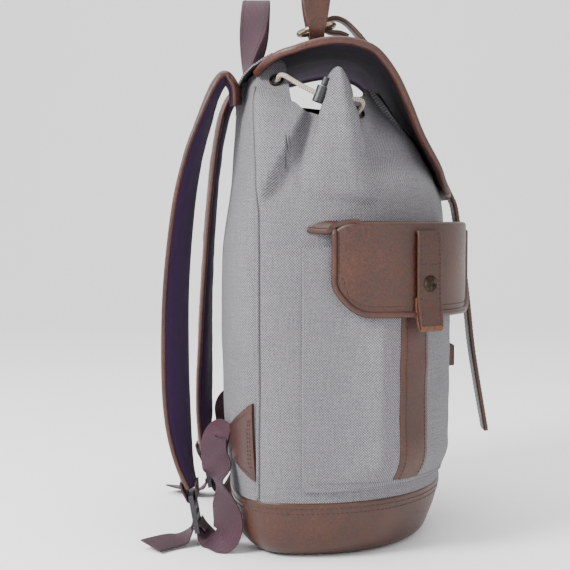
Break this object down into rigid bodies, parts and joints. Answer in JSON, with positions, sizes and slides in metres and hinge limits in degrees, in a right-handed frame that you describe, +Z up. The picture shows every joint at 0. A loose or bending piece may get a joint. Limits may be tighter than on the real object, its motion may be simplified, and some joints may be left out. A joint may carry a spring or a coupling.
{
  "type": "travel backpack",
  "caption": "Drawstring travel rucksack with leather base, hinged lid with closing strap, flapped side-front pockets, padded shoulder straps and carry loops.",
  "frame": {"origin": "centre of the bottom, on the plane the bag stands on", "axes": "+Z up; -Y towards the front, where the closing strap hangs; +Y towards the wearer; +X towards the wearer's right"},
  "size_m": [0.3108, 0.3016, 0.5291],
  "materials": {
    "canvas": "woven, heathered, matte",
    "seam_piping": "woven, matte",
    "lining": "fine dark purple weave, matte",
    "leather": "pebbled grain, satin",
    "leather_edge": "folded edge, satin",
    "dark_leather": "pebbled grain, satin",
    "strap_leather": "pebbled grain over foam, satin",
    "webbing": "ribbed webbing, matte",
    "brass": "antiqued, satin",
    "black_plastic": "moulded, satin",
    "steel": "bright wire",
    "board": "plain sheet",
    "braid": "round braided cord"
  },
  "bodies": {
    "bag": {"back_panel": "canvas", "base_board": "board", "base_bottom": "leather", "base_tub": "leather", "cord_lock_body": "black_plastic", "cord_lock_spring": "steel", "drawcord": "braid", "eyelets": "brass", "flap_top_left": "leather", "flap_top_right": "leather", "front_keeper": "leather", "front_panel": "canvas", "hinge_strip": "leather", "ladder_lock_left": "black_plastic", "ladder_lock_right": "black_plastic", "lining_bag": "lining", "pocket_body_left": "canvas", "pocket_body_right": "canvas", "pocket_strip_left": "leather", "pocket_strip_right": "leather", "shoulder_strap_left": "strap_leather", "shoulder_strap_right": "strap_leather", "side_seam_left": "seam_piping", "side_seam_right": "seam_piping", "snap_stud_left": "brass", "snap_stud_right": "brass", "strap_anchor_left": "dark_leather", "strap_anchor_right": "dark_leather", "strap_end_loop_left": "webbing", "strap_end_loop_right": "webbing", "webbing_left": "webbing", "webbing_right": "webbing", "webbing_tail_left": "webbing", "webbing_tail_right": "webbing"},
    "lid": {"lid_panel": "leather", "lid_lining": "lining", "lid_binding_left": "leather_edge", "lid_binding_right": "leather_edge", "lid_tip": "leather_edge", "lid_strap": "leather"},
    "carry_ring": {"lid_ring": "brass", "carry_loop": "leather"},
    "strap_end": {"strap_tail": "leather"},
    "handle": {"grab_handle": "webbing"},
    "pocket_flap_left": {"flap_left": "leather", "flap_binding_left": "leather_edge", "flap_tab_left": "leather", "snap_cap_left": "brass", "snap_socket_left": "brass"},
    "pocket_flap_right": {"flap_right": "leather", "flap_binding_right": "leather_edge", "flap_tab_right": "leather", "snap_cap_right": "brass", "snap_socket_right": "brass"},
    "plunger": {"cord_lock_plunger": "black_plastic"}
  },
  "joints": [
    {"name": "lid_hinge", "type": "hinge", "parent": "bag", "child": "lid", "pos_m": [0, 0.0695, 0.39], "axis": [-1, 0, 0], "range_deg": [0, 80]},
    {"name": "handle_fold", "type": "hinge", "parent": "bag", "child": "handle", "pos_m": [0, 0.0776, 0.3862], "axis": [-1, 0, 0], "range_deg": [0, 64]},
    {"name": "carry_ring_tilt", "type": "hinge", "parent": "lid", "child": "carry_ring", "pos_m": [0, 0.00088, 0.4441], "axis": [1, 0, 0], "range_deg": [0, 35]},
    {"name": "strap_end_swing", "type": "hinge", "parent": "lid", "child": "strap_end", "pos_m": [0, -0.1014, 0.2969], "axis": [-1, 0, 0], "range_deg": [0, 70]},
    {"name": "pocket_flap_left_lift", "type": "hinge", "parent": "bag", "child": "pocket_flap_left", "pos_m": [-0.12176, -0.06148, 0.2688], "axis": [-0.6069, 0.7948, 0], "range_deg": [0, 90]},
    {"name": "pocket_flap_right_lift", "type": "hinge", "parent": "bag", "child": "pocket_flap_right", "pos_m": [0.12176, -0.06148, 0.2688], "axis": [-0.6069, -0.7948, 0], "range_deg": [0, 90]},
    {"name": "cord_lock_press", "type": "slide", "parent": "bag", "child": "plunger", "axis": [0, 0.3511, -0.9363], "range_m": [0, 0.0024], "stiffness_N_per_m": 150, "springref_m": -0.004, "deforming": ["cord_lock_spring"]}
  ],
  "couplings": [
    {"joint": "handle_fold", "follows": "lid_hinge", "ratio": 0.8}
  ]
}
